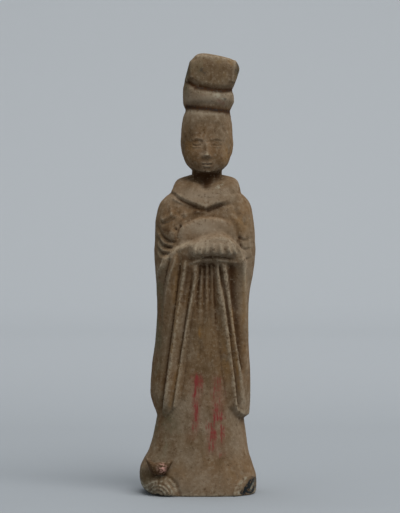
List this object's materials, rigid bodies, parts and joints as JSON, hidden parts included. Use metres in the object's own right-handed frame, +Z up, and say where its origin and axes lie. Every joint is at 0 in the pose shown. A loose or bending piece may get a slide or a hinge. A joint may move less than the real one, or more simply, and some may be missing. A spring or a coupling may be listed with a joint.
{
  "type": "standing figure statue",
  "caption": "Small moulded earthenware statue of a standing lady with a tall hair knot, long sleeves and a full skirt.",
  "frame": {"origin": "middle of the underside, on the ground", "axes": "+Z up, -Y the way the figure faces, +X to the viewer's right when seen from the front"},
  "size_m": [0.0694, 0.0544, 0.26],
  "materials": {
    "earthenware": "unglazed, weathered"
  },
  "bodies": {
    "root": {"court_lady": "earthenware"}
  },
  "joints": []
}
